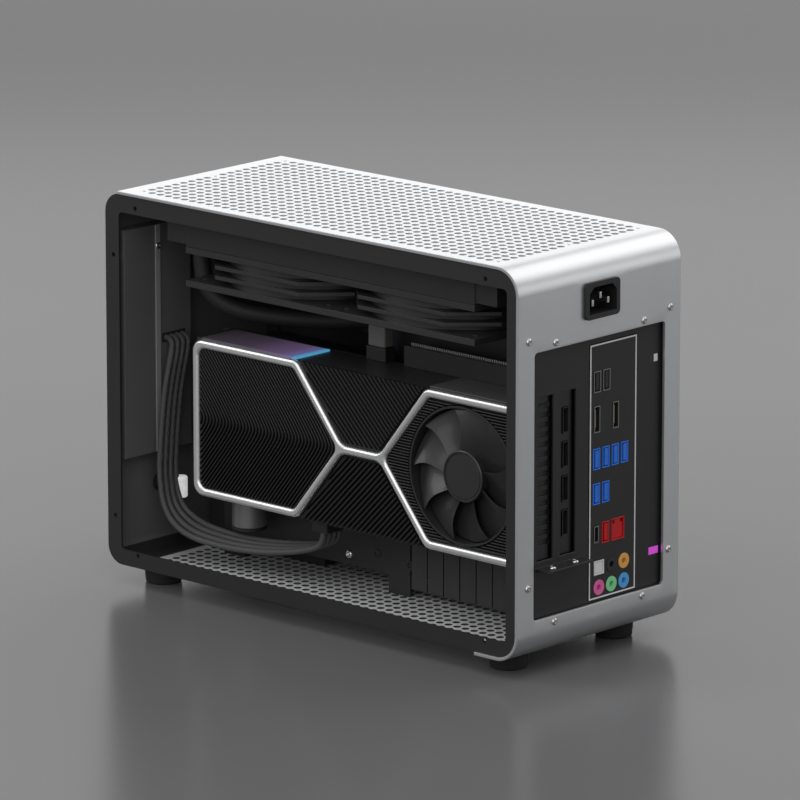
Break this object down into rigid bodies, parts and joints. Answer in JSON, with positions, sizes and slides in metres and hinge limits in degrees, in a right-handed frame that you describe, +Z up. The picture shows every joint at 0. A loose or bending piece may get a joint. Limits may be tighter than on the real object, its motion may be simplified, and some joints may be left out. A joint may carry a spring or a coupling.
{
  "type": "mini-itx computer case with its machine",
  "caption": "Slim upright computer case, silver folded shell on a black chassis, one side open to a graphics card, radiator with fans, leads and rear port panel.",
  "frame": {"origin": "middle of the bounding footprint, on the surface under the feet", "axes": "+X towards the rear wall with the ports, -Y the open side, +Z up"},
  "size_m": [0.3516, 0.147, 0.252],
  "materials": {
    "silver_skin": "bead-blasted and clear anodised, satin",
    "black_steel": "fine black powder coat",
    "floor_grey": "dark grey powder coat",
    "cover_black": "smooth black paint",
    "foot_rubber": "matt moulded rubber",
    "screw_nickel": "nickel plated",
    "inlet_plastic": "moulded, fine grain",
    "button_metal": "turned face",
    "sleeve_plastic": "moulded",
    "card_silver": "die cast, satin silver",
    "fin_black": "black anodised fins",
    "card_black": "satin black",
    "card_fan": "moulded blades",
    "bracket_steel": "dark nickel plate",
    "card_light": "lit violet diffuser",
    "plug_black": "moulded",
    "pin_gold": "gold plated contacts",
    "ribbon_black": "shielded ribbon strips",
    "board_black": "black solder mask",
    "port_dark": "moulded",
    "port_blue": "blue moulded inserts",
    "port_red": "red moulded inserts",
    "port_white": "white shutter",
    "jack_orange": "moulded",
    "jack_pink": "moulded",
    "jack_green": "moulded",
    "radiator_black": "black lacquered fins and tanks",
    "fan_black": "fibre-filled plastic",
    "hose_rubber": "braided sleeve",
    "pump_black": "moulded cap",
    "supply_black": "black powder coat",
    "lead_sleeve": "woven sleeve"
  },
  "bodies": {
    "case": {"outer_shell": "silver_skin", "far_side_panel": "silver_skin", "side_frame_near": "black_steel", "side_frame_far": "black_steel", "front_panel": "black_steel", "roof_frame": "black_steel", "rear_plate": "black_steel", "board_tray": "black_steel", "floor_panel": "floor_grey", "front_cable_cover": "cover_black", "foot_front_near": "foot_rubber", "foot_front_far": "foot_rubber", "foot_rear_near": "foot_rubber", "foot_rear_far": "foot_rubber", "lead_grommet": "foot_rubber", "case_screws": "screw_nickel", "inlet_pins": "screw_nickel", "mains_inlet": "inlet_plastic", "io_plate": "inlet_plastic", "button_sleeve": "sleeve_plastic", "gpu_frame": "card_silver", "gpu_fins_left": "fin_black", "gpu_fins_upper": "fin_black", "gpu_fins_lower": "fin_black", "gpu_fins_fan": "fin_black", "gpu_core": "card_black", "gpu_backplate": "card_black", "gpu_fan_ring": "card_fan", "gpu_bracket": "bracket_steel", "gpu_ports": "bracket_steel", "gpu_light": "card_light", "gpu_plug": "plug_black", "riser_slot": "plug_black", "riser_pins": "pin_gold", "riser_ribbon": "ribbon_black", "mainboard": "board_black", "memory_modules": "board_black", "dark_ports": "port_dark", "blue_ports": "port_blue", "jack_blue": "port_blue", "red_ports": "port_red", "optical_port": "port_white", "jack_orange": "jack_orange", "jack_pink": "jack_pink", "jack_green": "jack_green", "radiator": "radiator_black", "front_fan_frame": "fan_black", "rear_fan_frame": "fan_black", "hose_upper": "hose_rubber", "hose_lower": "hose_rubber", "pump": "pump_black", "power_supply": "supply_black", "gpu_lead_1": "lead_sleeve", "gpu_lead_2": "lead_sleeve", "gpu_lead_3": "lead_sleeve", "gpu_lead_4": "lead_sleeve"},
    "card_fan": {"gpu_fan": "card_fan"},
    "front_rotor": {"front_fan_rotor": "fan_black"},
    "rear_rotor": {"rear_fan_rotor": "fan_black"},
    "button": {"power_button": "button_metal"}
  },
  "joints": [
    {"name": "card_fan_spin", "type": "hinge", "parent": "case", "child": "card_fan", "pos_m": [0.10575, -0.0435, 0.1126], "axis": [0, 1, 0], "continuous": true},
    {"name": "front_fan_spin", "type": "hinge", "parent": "case", "child": "front_rotor", "pos_m": [-0.05825, 0, 0.205], "axis": [0, 0, 1], "continuous": true},
    {"name": "rear_fan_spin", "type": "hinge", "parent": "case", "child": "rear_rotor", "pos_m": [0.06175, 0, 0.205], "axis": [0, 0, 1], "continuous": true},
    {"name": "button_press", "type": "slide", "parent": "case", "child": "button", "axis": [1, 0, 0], "range_m": [0, 0.0015], "stiffness_N_per_m": 600}
  ]
}
